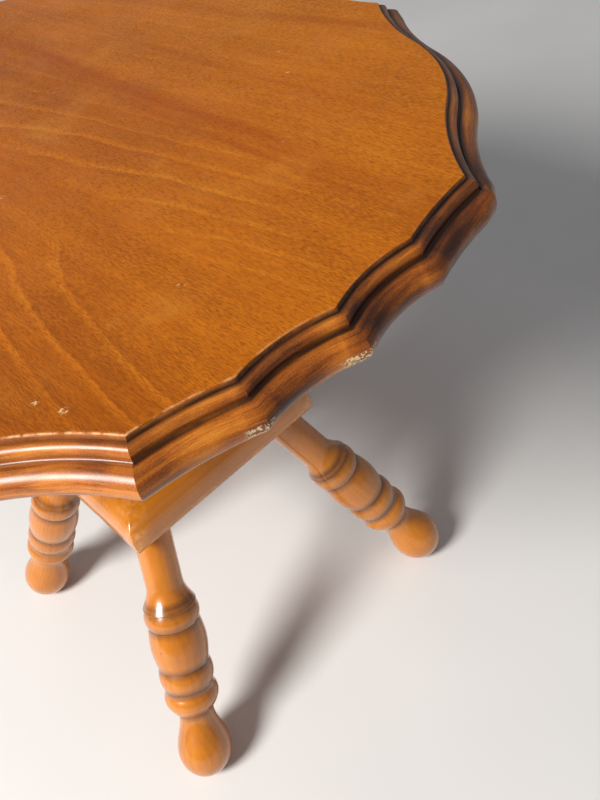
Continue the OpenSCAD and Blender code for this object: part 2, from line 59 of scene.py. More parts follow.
class Nodes:
    """Short calls for building one material's node tree."""

    def __init__(self, name):
        self.material = bpy.data.materials.new(name)
        self.material.use_nodes = True
        self.tree = self.material.node_tree
        self.shader = self.tree.nodes["Principled BSDF"]
        self.coordinates = self.tree.nodes.new("ShaderNodeTexCoord")

    def link(self, source, target):
        self.tree.links.new(source, target)

    def set(self, socket, value):
        """A socket takes another node's output, or a plain value."""
        if isinstance(value, bpy.types.NodeSocket):
            self.link(value, socket)
        else:
            socket.default_value = value

    def scaled(self, scale, location=(0, 0, 0), source=None):
        """Object coordinates, or the given ones, scaled and then moved."""
        node = self.tree.nodes.new("ShaderNodeMapping")
        self.link(source or self.coordinates.outputs["Object"], node.inputs["Vector"])
        node.inputs["Scale"].default_value = scale
        node.inputs["Location"].default_value = location
        return node.outputs["Vector"]

    def noise(self, vector, scale=1.0, detail=3.0, roughness=0.55):
        node = self.tree.nodes.new("ShaderNodeTexNoise")
        self.link(vector, node.inputs["Vector"])
        node.inputs["Scale"].default_value = scale
        node.inputs["Detail"].default_value = detail
        node.inputs["Roughness"].default_value = roughness
        return node.outputs["Fac"]

    def cells(self, vector):
        """Distance to the nearest of a scatter of points."""
        node = self.tree.nodes.new("ShaderNodeTexVoronoi")
        self.link(vector, node.inputs["Vector"])
        node.inputs["Scale"].default_value = 1.0
        return node.outputs["Distance"]

    def math(self, operation, a, b=0.0, clamp=False):
        node = self.tree.nodes.new("ShaderNodeMath")
        node.operation = operation
        node.use_clamp = clamp
        for socket, value in zip(node.inputs, (a, b)):
            self.set(socket, value)
        return node.outputs["Value"]

    def remap(self, value, low, high, to_low=0.0, to_high=1.0):
        """Smooth step from to_low at low to to_high at high."""
        node = self.tree.nodes.new("ShaderNodeMapRange")
        node.interpolation_type = "SMOOTHSTEP"
        self.set(node.inputs["Value"], value)
        node.inputs["From Min"].default_value = low
        node.inputs["From Max"].default_value = high
        node.inputs["To Min"].default_value = to_low
        node.inputs["To Max"].default_value = to_high
        return node.outputs["Result"]

    def ramp(self, value, stops):
        node = self.tree.nodes.new("ShaderNodeValToRGB")
        self.set(node.inputs["Fac"], value)
        elements = node.color_ramp.elements
        while len(elements) < len(stops):
            elements.new(0.5)
        for element, (position, colour) in zip(elements, stops):
            element.position = position
            element.color = (*colour, 1)
        return node.outputs["Color"]

    def mix(self, fac, a, b):
        node = self.tree.nodes.new("ShaderNodeMix")
        node.data_type = "RGBA"
        self.set(node.inputs["Factor"], fac)
        for socket, value in ((node.inputs["A"], a), (node.inputs["B"], b)):
            self.set(socket, (*value, 1) if isinstance(value, tuple) else value)
        return node.outputs["Result"]

    def axes(self, vector=None):
        node = self.tree.nodes.new("ShaderNodeSeparateXYZ")
        self.link(vector or self.coordinates.outputs["Object"], node.inputs["Vector"])
        return node.outputs["X"], node.outputs["Y"], node.outputs["Z"]

    def combine(self, x, y, z):
        node = self.tree.nodes.new("ShaderNodeCombineXYZ")
        for socket, value in zip(node.inputs, (x, y, z)):
            self.set(socket, value)
        return node.outputs["Vector"]

    def attribute(self, name):
        node = self.tree.nodes.new("ShaderNodeAttribute")
        node.attribute_name = name
        return node.outputs["Fac"]

    def bump(self, height, strength, distance):
        node = self.tree.nodes.new("ShaderNodeBump")
        node.inputs["Strength"].default_value = strength
        node.inputs["Distance"].default_value = distance
        self.link(height, node.inputs["Height"])
        return node.outputs["Normal"]

    def total(self, base, *parts):
        """Base value plus each noise's swing about 0.5 times its weight."""
        for value, weight in parts:
            swing = self.math("MULTIPLY", self.math("SUBTRACT", value, 0.5), weight)
            base = self.math("ADD", swing, base)
        return base

    def finish(self, colour, roughness, normal=None, **values):
        """Wires up the shader and returns the material; values are plain shader settings."""
        self.set(self.shader.inputs["Base Color"], colour)
        self.set(self.shader.inputs["Roughness"], roughness)
        if normal is not None:
            self.link(normal, self.shader.inputs["Normal"])
        for name, value in values.items():
            self.shader.inputs[name.replace("_", " ")].default_value = value
        return self.material


def linear(red, green, blue):
    """Linear colour of an sRGB colour given from 0 to 255."""
    return tuple(
        c / 12.92 if c <= 0.04045 else ((c + 0.055) / 1.055) ** 2.4
        for c in (red / 255, green / 255, blue / 255)
    )


# ---- Materials --------------------------------------------------------------------------


def top_veneer():
    """Satin varnished veneer, grain along Y: pores, cathedral figure, red heartwood streaks and dings."""
    n = Nodes("top_veneer")
    x, y, z = n.axes()
    wander = n.math("SUBTRACT", n.noise(n.scaled((5, 1.6, 5)), 1.0, 2, 0.5), 0.5)
    # Rings round a slanting pith: where the surface cuts them they draw cathedral arches
    bent_x = n.math("ADD", n.math("ADD", x, 0.04), n.math("MULTIPLY", wander, 0.075))
    depth = n.math("ADD", n.math("MULTIPLY", y, 0.2), 0.0832)
    depth = n.math("ADD", depth, n.math("MULTIPLY", n.noise(n.scaled((14, 9, 2)), 1.0, 3, 0.6), 0.022))
    squares = n.math("ADD", n.math("MULTIPLY", bent_x, bent_x), n.math("MULTIPLY", depth, depth))
    radius = n.math("SQRT", squares)
    ring = n.math("FRACT", n.math("MULTIPLY", radius, 55.0))
    light_line = n.math("MULTIPLY", n.remap(ring, 0.0, 0.06), n.remap(ring, 0.08, 0.32, 1.0, 0.0))
    figure = n.math("SUBTRACT", light_line, n.math("MULTIPLY", n.remap(ring, 0.75, 1.0), 0.3))
    ring_fade = n.remap(n.noise(n.scaled((9, 2, 9), (3, 1, 0)), 1.0, 2), 0.34, 0.6)
    ring_fade = n.math("MULTIPLY", ring_fade, n.remap(n.math("ABSOLUTE", bent_x), 0.04, 0.16, 1.0, 0.25))
    figure = n.math("MULTIPLY", figure, ring_fade)
    fine = n.noise(n.scaled((1100, 48, 1100)), 1.0, 3, 0.66)
    streak = n.noise(n.scaled((95, 3.0, 95)), 1.0, 3, 0.6)
    broad = n.noise(n.scaled((9, 1.6, 9)), 1.0, 2, 0.5)
    cloud = n.noise(n.scaled((7, 5, 7), (2, 5, 0)), 1.0, 3, 0.6)
    tone = n.total(0.46, (fine, 0.62), (streak, 0.3), (broad, 0.36), (cloud, 0.42))
    tone = n.math("ADD", tone, n.math("MULTIPLY", figure, 0.24))
    # The right of the board is lighter and the back left darker
    tone = n.math("ADD", tone, n.math("MULTIPLY", x, 0.7))
    tone = n.math("SUBTRACT", tone, n.math("MULTIPLY", n.remap(y, 0.0, 0.4), 0.08))
    colour = n.ramp(
        tone,
        [
            (0.15, linear(138, 68, 4)),
            (0.38, linear(166, 88, 8)),
            (0.56, linear(184, 102, 14)),
            (0.78, linear(200, 120, 22)),
            (1.0, linear(216, 142, 44)),
        ],
    )
    # Heartwood streaks that wander along the grain
    for centre, width, slant, strength in STREAKS:
        drift = n.math("MULTIPLY", n.math("SUBTRACT", y, -0.13), slant)
        offset = n.math("SUBTRACT", n.math("SUBTRACT", x, centre), drift)
        offset = n.math("ADD", offset, n.math("MULTIPLY", wander, 0.07))
        near = n.remap(n.math("ABSOLUTE", offset), 0.0, width, 1.0, 0.0)
        patchy = n.remap(n.noise(n.scaled((40, 5, 40), (centre, 0, 0)), 1.0, 3), 0.25, 0.6)
        amount = n.math("MULTIPLY", n.math("MULTIPLY", near, patchy), strength)
        colour = n.mix(amount, colour, linear(156, 70, 4))
    # Open pores: short dark flecks along the grain, thicker in some bands
    warped = n.combine(n.math("ADD", x, n.math("MULTIPLY", wander, 0.02)), y, z)
    pores = n.noise(n.scaled((1900, 230, 1900), source=warped), 1.0, 2, 0.6)
    crowd = n.noise(n.scaled((26, 7, 26), (0, 4, 0)), 1.0, 2, 0.5)
    pore = n.remap(n.total(0.5, (pores, 1.0), (crowd, 0.3)), 0.43, 0.66)
    colour = n.mix(n.math("MULTIPLY", pore, 0.56), colour, linear(108, 52, 6))
    # Hazy patches in the varnish and pale dings
    haze = n.remap(n.noise(n.scaled((13, 13, 13), (7, 2, 0)), 1.0, 3, 0.6), 0.56, 0.8)
    colour = n.mix(n.math("MULTIPLY", haze, 0.2), colour, linear(210, 146, 60))
    ding = 0.0
    for px, py, size in DINGS:
        away = n.math("POWER", n.math("SUBTRACT", x, px), 2.0)
        away = n.math("ADD", away, n.math("POWER", n.math("SUBTRACT", y, py), 2.0))
        spot = n.remap(n.math("SQRT", away), size * 0.4, size, 1.0, 0.0)
        ding = n.math("MAXIMUM", ding, spot)
    speck = n.remap(n.noise(n.scaled((700, 500, 700)), 1.0, 3, 0.7), 0.50, 0.58)
    ding = n.math("MULTIPLY", ding, speck)
    colour = n.mix(n.math("MULTIPLY", ding, 0.8), colour, linear(226, 186, 140))
    # Rubbed edge with a painted highlight, most of it on the left where the light falls
    worn_and_lit_edge = n.remap(n.noise(n.scaled((90, 90, 90)), 1.0, 3, 0.65), 0.40, 0.6)
    worn_and_lit_edge = n.math("MULTIPLY", n.attribute("edge_wear"), worn_and_lit_edge)
    # Painted highlight: the pale edge line is strongest on the lit left and fades to the right
    worn_and_lit_edge = n.math("MULTIPLY", worn_and_lit_edge, n.remap(x, -0.14, 0.03, 0.95, 0.14))
    colour = n.mix(worn_and_lit_edge, colour, linear(228, 168, 112))
    smear = n.noise(n.scaled((30, 30, 30)), 1.0, 4, 0.6)
    roughness = n.math("ADD", n.remap(smear, 0.3, 0.75, 0.36, 0.5), n.math("MULTIPLY", pore, 0.12))
    height = n.math("SUBTRACT", n.math("MULTIPLY", fine, 0.3), pore)
    height = n.math("SUBTRACT", height, n.math("MULTIPLY", ding, 1.5))
    normal = n.bump(height, 0.3, 0.0002)
    return n.finish(colour, roughness, normal, Coat_Weight=0.05, Coat_Roughness=0.3, Specular_IOR_Level=0.13)


# Heartwood streaks: middle, half width, slant along Y, strength
STREAKS = (
    (0.108, 0.012, 0.05, 0.72),
    (0.094, 0.006, 0.07, 0.5),
    (0.262, 0.012, -0.08, 0.42),
    (0.170, 0.005, 0.03, 0.35),
)
# Dings: x, y, size
DINGS = (
    (-0.032, -0.301, 0.0034),
    (0.102, -0.240, 0.0022),
    (0.176, -0.165, 0.0020),
    (0.200, -0.130, 0.0018),
    (-0.132, -0.310, 0.0030),
    (-0.126, -0.328, 0.0034),
    (0.135, -0.270, 0.0018),
    (-0.040, -0.105, 0.0030),
)


def moulding_wood():
    """Gloss varnished red brown edge. UV: U along the moulding in metres, V round its section in metres."""
    n = Nodes("moulding_wood")
    uv = n.coordinates.outputs["UV"]
    u, v, _ = n.axes(uv)
    wave = n.math("SUBTRACT", n.noise(n.scaled((14, 40, 1), source=uv), 1.0, 3, 0.5), 0.5)
    bent = n.combine(u, n.math("ADD", v, n.math("MULTIPLY", wave, 0.012)), 0.0)
    band = n.noise(n.scaled((9, 260, 1), source=bent), 1.0, 3, 0.55)
    broad = n.noise(n.scaled((16, 70, 1), (3, 0, 0), source=bent), 1.0, 2, 0.5)
    fine = n.noise(n.scaled((60, 2600, 1), source=bent), 1.0, 2, 0.6)
    grit = n.noise(n.scaled((1300, 1300, 1300)), 1.0, 2, 0.6)
    blotch = n.noise(n.scaled((38, 38, 38)), 1.0, 3, 0.6)
    tone = n.total(0.5, (band, 0.9), (broad, 0.8), (fine, 0.6), (grit, 0.45), (blotch, 0.55))
    # Painted light and shade: on each hollow the flank turned one way is painted lighter and the flank turned the
    # other way darker
    tone = n.math("ADD", tone, n.math("MULTIPLY", n.attribute("side_light_and_shade"), 0.78))
    colour = n.ramp(
        tone,
        [
            (0.15, linear(56, 26, 9)),
            (0.36, linear(98, 48, 12)),
            (0.54, linear(136, 70, 16)),
            (0.74, linear(172, 96, 24)),
            (1.0, linear(204, 126, 40)),
        ],
    )
    # Glaze and painted shade darken the quirk and the hollow between the beads
    groove = n.attribute("groove")
    glaze_and_groove_shade = n.math("MULTIPLY", groove, n.remap(blotch, 0.25, 0.6, 0.6, 1.0))
    colour = n.mix(n.math("MULTIPLY", glaze_and_groove_shade, 0.93), colour, linear(20, 9, 6))
    wear = n.attribute("edge_wear")
    rub = n.remap(n.noise(n.scaled((95, 95, 95)), 1.0, 4, 0.7), 0.40, 0.66)
    colour = n.mix(n.math("MULTIPLY", n.math("MULTIPLY", wear, rub), 0.34), colour, linear(196, 126, 66))
    chip = n.attribute("chip")
    flake = n.remap(n.noise(n.scaled((520, 520, 520)), 1.0, 2, 0.6), 0.46, 0.54)
    chip = n.math("MULTIPLY", chip, flake)
    colour = n.mix(chip, colour, linear(232, 205, 160))
    smear = n.noise(n.scaled((45, 45, 45)), 1.0, 4, 0.6)
    roughness = n.remap(smear, 0.3, 0.75, 0.3, 0.44)
    roughness = n.math("ADD", roughness, n.math("MULTIPLY", chip, 0.5), clamp=True)
    height = n.math("ADD", n.math("MULTIPLY", fine, 0.5), n.math("MULTIPLY", grit, 0.5))
    height = n.math("SUBTRACT", height, n.math("MULTIPLY", chip, 2.0))
    normal = n.bump(height, 0.35, 0.0002)
    return n.finish(colour, roughness, normal, Coat_Weight=0.24, Coat_Roughness=0.24, Specular_IOR_Level=0.34)


def turned_wood(name, seed, tone_shift=0.0, length_axis=2):
    """Gloss varnished honey coloured wood with its grain along one axis of the piece, dark in the grooves with
    glaze and painted shade.
    """
    n = Nodes(name)
    along = [1.0, 1.0, 1.0]
    along[length_axis] = 0.07

    def stretched(scale, offset=0.0):
        return n.scaled(tuple(scale * a for a in along), (seed + offset, seed * 2 + offset, seed))

    wander = n.math("SUBTRACT", n.noise(stretched(30), 1.0, 2, 0.5), 0.5)
    x, y, z = n.axes()
    across = [a for i, a in enumerate((x, y, z)) if i != length_axis]
    ring_radius = n.math(
        "SQRT",
        n.math(
            "ADD",
            n.math("POWER", n.math("ADD", across[0], 0.055 + 0.01 * math.sin(seed)), 2.0),
            n.math("POWER", n.math("ADD", across[1], 0.03 * math.cos(seed)), 2.0),
        ),
    )
    ring_radius = n.math("ADD", ring_radius, n.math("MULTIPLY", wander, 0.012))
    ring = n.math("FRACT", n.math("MULTIPLY", ring_radius, 210.0))
    ring = n.math("MULTIPLY", n.remap(ring, 0.0, 0.8), n.remap(ring, 0.88, 1.0, 1.0, 0.0))
    streak = n.noise(stretched(230), 1.0, 3, 0.6)
    fine = n.noise(stretched(1500), 1.0, 2, 0.6)
    broad = n.noise(stretched(38, 3.0), 1.0, 2, 0.5)
    blotch = n.noise(n.scaled((24, 24, 24), (seed, 0, 1)), 1.0, 3, 0.55)
    tone = n.total(0.52 + tone_shift, (ring, 0.05), (streak, 0.14), (fine, 0.14), (broad, 0.3), (blotch, 0.3))
    colour = n.ramp(
        tone,
        [
            (0.1, linear(124, 66, 6)),
            (0.36, linear(162, 92, 12)),
            (0.56, linear(194, 115, 20)),
            (0.8, linear(214, 136, 34)),
            (1.0, linear(230, 158, 58)),
        ],
    )
    # Glaze and painted shade darken the grooves
    groove = n.attribute("groove")
    shade = n.math("MULTIPLY", groove, n.remap(blotch, 0.2, 0.7, 0.55, 1.0))
    colour = n.mix(n.math("MULTIPLY", shade, 0.88), colour, linear(62, 35, 20))
    rub = n.remap(n.noise(n.scaled((120, 120, 120)), 1.0, 4, 0.7), 0.46, 0.7)
    wear = n.math("MULTIPLY", n.attribute("edge_wear"), rub)
    colour = n.mix(n.math("MULTIPLY", wear, 0.6), colour, linear(226, 168, 106))
    ding = n.remap(n.cells(n.scaled((34, 34, 34), (seed, seed, 0))), 0.02, 0.05, 1.0, 0.0)
    colour = n.mix(n.math("MULTIPLY", ding, 0.45), colour, linear(90, 44, 18))
    smear = n.noise(n.scaled((40, 40, 40), (seed, 1, 1)), 1.0, 4, 0.6)
    roughness = n.remap(smear, 0.3, 0.75, 0.2, 0.38)
    height = n.math("ADD", n.math("MULTIPLY", fine, 0.4), n.math("MULTIPLY", streak, 0.4))
    height = n.math("SUBTRACT", height, n.math("MULTIPLY", ding, 0.8))
    normal = n.bump(height, 0.15, 0.0002)
    return n.finish(colour, roughness, normal, Coat_Weight=0.75, Coat_Roughness=0.11)


def bare_wood(name, light, dark, axis, roughness_low=0.55):
    """Unfinished or oiled wood for hidden pieces, with its grain along one axis."""
    n = Nodes(name)
    along = [1.0, 1.0, 1.0]
    along[axis] = 0.06
    streak = n.noise(n.scaled(tuple(170 * a for a in along)), 1.0, 4, 0.62)
    fine = n.noise(n.scaled(tuple(1300 * a for a in along)), 1.0, 2, 0.6)
    broad = n.noise(n.scaled(tuple(26 * a for a in along), (2, 2, 2)), 1.0, 3, 0.5)
    stain = n.noise(n.scaled((14, 14, 14)), 1.0, 4, 0.6)
    tone = n.math("ADD", n.math("MULTIPLY", streak, 0.45), n.math("MULTIPLY", broad, 0.55))
    tone = n.math("ADD", tone, n.math("MULTIPLY", n.math("SUBTRACT", fine, 0.5), 0.35))
    colour = n.mix(n.remap(tone, 0.3, 0.7), dark, light)
    dirt = n.remap(stain, 0.5, 0.75)
    colour = n.mix(n.math("MULTIPLY", dirt, 0.35), colour, tuple(c * 0.5 for c in dark))
    saw = n.noise(n.scaled((900, 60, 60)), 1.0, 1, 0.5)
    height = n.math("ADD", n.math("MULTIPLY", fine, 0.7), n.math("MULTIPLY", saw, 0.25))
    normal = n.bump(height, 0.4, 0.0003)
    roughness = n.remap(stain, 0.3, 0.7, roughness_low, roughness_low + 0.2)
    return n.finish(colour, roughness, normal)


def metal(name, light, dark, roughness_low, tarnish):
    """Worn metal with fine scratches, duller patches and dirt in the corners."""
    n = Nodes(name)
    scratch = n.noise(n.scaled((260, 3200, 3200)), 1.0, 3, 0.6)
    patch = n.noise(n.scaled((120, 120, 120)), 1.0, 4, 0.65)
    spots = n.noise(n.scaled((900, 900, 900)), 1.0, 3, 0.7)
    dull = n.remap(patch, 0.42, 0.68)
    colour = n.mix(dull, light, dark)
    tarnished = n.math("MULTIPLY", n.remap(spots, 0.58, 0.7), tarnish)
    colour = n.mix(tarnished, colour, tuple(c * 0.35 for c in dark))
    roughness = n.math("ADD", n.math("MULTIPLY", dull, 0.22), n.math("MULTIPLY", scratch, 0.16))
    roughness = n.math("ADD", roughness, roughness_low)
    height = n.math("ADD", n.math("MULTIPLY", scratch, 0.5), n.math("MULTIPLY", spots, 0.4))
    normal = n.bump(height, 0.25, 0.00012)
    return n.finish(colour, roughness, normal, Metallic=1.0)


VENEER_LOOK = top_veneer()
MOULDING_LOOK = moulding_wood()
CORE_LOOK = bare_wood("core_wood", linear(196, 152, 100), linear(150, 104, 60), 1)
BACK_LOOK = bare_wood("back_veneer_wood", linear(166, 104, 58), linear(112, 62, 30), 1)
BATTEN_LOOK = bare_wood("batten_wood", linear(140, 82, 42), linear(86, 44, 20), 0, 0.4)
STEEL_LOOK = metal("aged_steel", linear(150, 146, 140), linear(92, 84, 76), 0.3, 0.6)
BRASS_LOOK = metal("aged_brass", linear(206, 166, 86), linear(142, 100, 44), 0.22, 0.7)


# ---- Mesh helpers --------------------------------------------------------------------------


def new_object(name, bm, material, smooth_angle):
    """Object from a bmesh: recalculated normals, smooth shading with sharp edges above an angle."""
    bmesh.ops.recalc_face_normals(bm, faces=bm.faces)
    mesh = bpy.data.meshes.new(name)
    for edge in bm.edges:
        if len(edge.link_faces) == 2 and edge.calc_face_angle(0.0) > math.radians(smooth_angle):
            edge.smooth = False
    for face in bm.faces:
        face.smooth = True
    bm.to_mesh(mesh)
    bm.free()
    mesh.materials.append(material)
    obj = bpy.data.objects.new(name, mesh)
    bpy.context.scene.collection.objects.link(obj)
    return obj


def attach(obj, body, node):
    """The piece rides a body and stands in for one CAD node."""
    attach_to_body(obj, body)
    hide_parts(node)


def rings_to_mesh(bm, rings):
    """Quads between equal closed rings of points; returns the vertices ring by ring."""
    made = [[bm.verts.new(p) for p in ring] for ring in rings]
    count = len(made[0])
    for a, b in zip(made, made[1:]):
        for j in range(count):
            k = (j + 1) % count
            bm.faces.new((a[j], b[j], b[k], a[k]))
    return made


# ---- Top outline: the CAD model's formula with more points ------------------------------------

FRONT_CUSP_Y, FRONT_CUSP_X, CUSP_SETBACK = 387.5, 62.0, 5.5
RIGHT_CORNER_X, RIGHT_CORNER_Y = 122.5, 369.5
LEFT_CORNER_X, LEFT_CORNER_Y = 116.8, 367.7
SIDE_CORNER_X, SIDE_CORNER_Y = 296.0, 146.0
SIDE_CUSP_X, SIDE_CUSP_STEP, SIDE_SETBACK = 302.5, 73.0, 1.6
SCALLOP_HOLLOW, OUTER_SCALLOP_HOLLOW = 4.7, 2.0
BULGE_RADIUS, SHALLOW_SWING, DEEP_SWING = 171.0, 17.4, 19.4
SERPENTINE_LEAD, DEEP_LEAD = 3.6, 10.4
STEP = 2.2  # length of one piece of the outline, in millimetres


def outside(v):
    """Direction to the right of v, which points out of the outline."""
    return Vector((v.y, -v.x))


def arc(p, q, rise):
    """Points of an arc from p to q that stands rise over its chord, without q."""
    half = (q - p).length / 2
    count = max(6, round(2 * half / STEP))
    r = (half * half + rise * rise) / (2 * rise)
    u = (q - p).normalized()
    w = outside(u)
    middle = (p + q) / 2 + w * (rise - r)
    h = math.asin(half / r)
    angles = [-h + 2 * h * i / count for i in range(count)]
    return [middle + r * (w * math.cos(a) + u * math.sin(a)) for a in angles]


def serpentine(p, q, lead_p, lead_q, swing):
    """Hollow, bulge and hollow between two corners, meeting in smooth tangents."""
    sin, cos, rad = math.sin, math.cos, math.radians
    u = (q - p).normalized()
    w = outside(u)
    lead_p, lead_q, swing = rad(lead_p), rad(lead_q), rad(swing)
    share = (cos(lead_p) - cos(swing)) / (cos(lead_q) - cos(swing))
    run_p, run_q = sin(lead_p) + sin(swing), sin(lead_q) + sin(swing)
    r_p = ((q - p).length - 2 * BULGE_RADIUS * sin(swing)) / (run_p + share * run_q)
    r_q = share * r_p
    rise = r_p * (cos(lead_p) - cos(swing))
    k1 = p + u * r_p * run_p + w * rise
    k2 = q - u * r_q * run_q + w * rise
    return (
        arc(p, k1, -r_p * (1 - cos((lead_p + swing) / 2)))
        + arc(k1, k2, BULGE_RADIUS * (1 - cos(swing)))
        + arc(k2, q, -r_q * (1 - cos((lead_q + swing) / 2)))
    )


def scallops(keys, hollows):
    """One hollow between each two keys."""
    return [p for a, b, h in zip(keys, keys[1:], hollows) for p in arc(a, b, -h)]


FRONT_KEYS = [
    Vector(v)
    for v in (
        (-LEFT_CORNER_X, -LEFT_CORNER_Y),
        (-FRONT_CUSP_X, CUSP_SETBACK - FRONT_CUSP_Y),
        (0, -FRONT_CUSP_Y),
        (FRONT_CUSP_X, CUSP_SETBACK - FRONT_CUSP_Y),
        (RIGHT_CORNER_X, -RIGHT_CORNER_Y),
    )
]
SIDE_KEYS = [
    Vector(v)
    for v in (
        (SIDE_CORNER_X, -SIDE_CORNER_Y),
        (SIDE_CUSP_X - SIDE_SETBACK, -SIDE_CUSP_STEP),
        (SIDE_CUSP_X, 0),
        (SIDE_CUSP_X - SIDE_SETBACK, SIDE_CUSP_STEP),
        (SIDE_CORNER_X, SIDE_CORNER_Y),
    )
]
FRONT_HOLLOWS = (OUTER_SCALLOP_HOLLOW, SCALLOP_HOLLOW, SCALLOP_HOLLOW, OUTER_SCALLOP_HOLLOW)
HALF_RUNS = [
    scallops(FRONT_KEYS, FRONT_HOLLOWS),
    serpentine(FRONT_KEYS[4], SIDE_KEYS[0], SERPENTINE_LEAD, SERPENTINE_LEAD, SHALLOW_SWING),
    scallops(SIDE_KEYS, [SCALLOP_HOLLOW] * 4),
    serpentine(SIDE_KEYS[4], -FRONT_KEYS[0], SERPENTINE_LEAD, DEEP_LEAD, DEEP_SWING),
]
RUNS = HALF_RUNS + [[-p for p in run] for run in HALF_RUNS]
OUTLINE = [p for run in RUNS for p in run]
COUNT = len(OUTLINE)
STARTS = [sum(len(r) for r in RUNS[:k]) for k in range(len(RUNS))]


def mitre(i):
    """Moving point i by d times this moves both its lines out by d."""
    here = OUTLINE[i % COUNT]
    before = outside((here - OUTLINE[i % COUNT - 1]).normalized())
    after = outside((OUTLINE[(i + 1) % COUNT] - here).normalized())
    return (before + after) / (1 + before.dot(after))


# How far each point's corner is worn round: most at the eight main corners, nothing away from them
CORNER_WEAR = (0.35, 1, 0.6, 0.6, 0.35, 1, 0.6, 0.6)
CORNER = [
    max(w * max(0.0, 1 - (p - OUTLINE[k]).length / 30) for k, w in zip(STARTS, CORNER_WEAR)) for p in OUTLINE
]


def offset_path(d):
    """Outline moved out by d, with its cusps rounded as a cutter and sandpaper leave them."""
    path = [OUTLINE[i] + d * mitre(i) for i in range(COUNT)]
    if d < 3:
        return path
    steps = [(path[(i + 1) % COUNT] - path[i]).length for i in range(COUNT)]
    rounded = []
    for i in range(COUNT):
        sigma = 0.1 * d + (0.08 + 0.5 * CORNER[i]) * max(d - 8, 0.0)
        total, weight = Vector((0, 0)), 0.0
        for way in (1, -1):
            away, j = 0.0, i
            while away < 2.5 * sigma:
                w = math.exp(-0.5 * (away / sigma) ** 2) * (0.5 if away == 0 else 1)
                total += w * path[j]
                weight += w
                step = steps[j] if way > 0 else steps[j - 1]
                away += max(step, 0.05)
                j = (j + way) % COUNT
        rounded.append(total / weight)
    return rounded


# ---- Moulding ----------------------------------------------------------------------------------

QUIRK = 2.8
UPPER_R, COVE_R, LOWER_R = 4.7, 1.8, 9.1
THICK = (TOP_Z - CORE_LOW) / MM
UPPER_C = Vector((1.9, -QUIRK - UPPER_R))
COVE_C = Vector((UPPER_C.x + UPPER_R + COVE_R, UPPER_C.y - 1.2))
LOWER_C = Vector((9.6, -THICK + LOWER_R))
INNER = 6.0  # how far the visible moulding reaches in under the veneer


def section_arc(c, r, start, end, n):
    """Points of an arc in the moulding's section, x outwards and y up."""
    angles = [math.radians(start + (end - start) * i / n) for i in range(n + 1)]
    return [c + r * Vector((math.cos(a), math.sin(a))) for a in angles]


SECTION = (
    [Vector((-INNER, -VENEER / MM)), Vector((0, -VENEER / MM)), Vector((0.5, -1.5)), Vector((0.9, -QUIRK))]
    + section_arc(UPPER_C, UPPER_R, 95, 0, 14)
    + section_arc(COVE_C, COVE_R, 180, 250, 6)
    + section_arc(LOWER_C, LOWER_R, 100, -90, 34)
    + [Vector((4, -THICK)), Vector((-INNER, -THICK))]
)
# Centre and reach of the glaze and painted shade in the quirk and in the hollow between the beads
GLAZE_AND_SHADE_HOLLOWS = ((Vector((0.9, -QUIRK)), 3.4), (Vector((7.6, -10.3)), 3.6))
PATHS = {}
for point in SECTION:
    PATHS.setdefault(round(point.x, 3), offset_path(point.x))
CHIPS = (
    (Vector((FRONT_KEYS[2].x - 6, FRONT_KEYS[2].y - 17)), 11.0),
    (Vector((FRONT_KEYS[1].x - 6, FRONT_KEYS[1].y - 17)), 8.0),
)


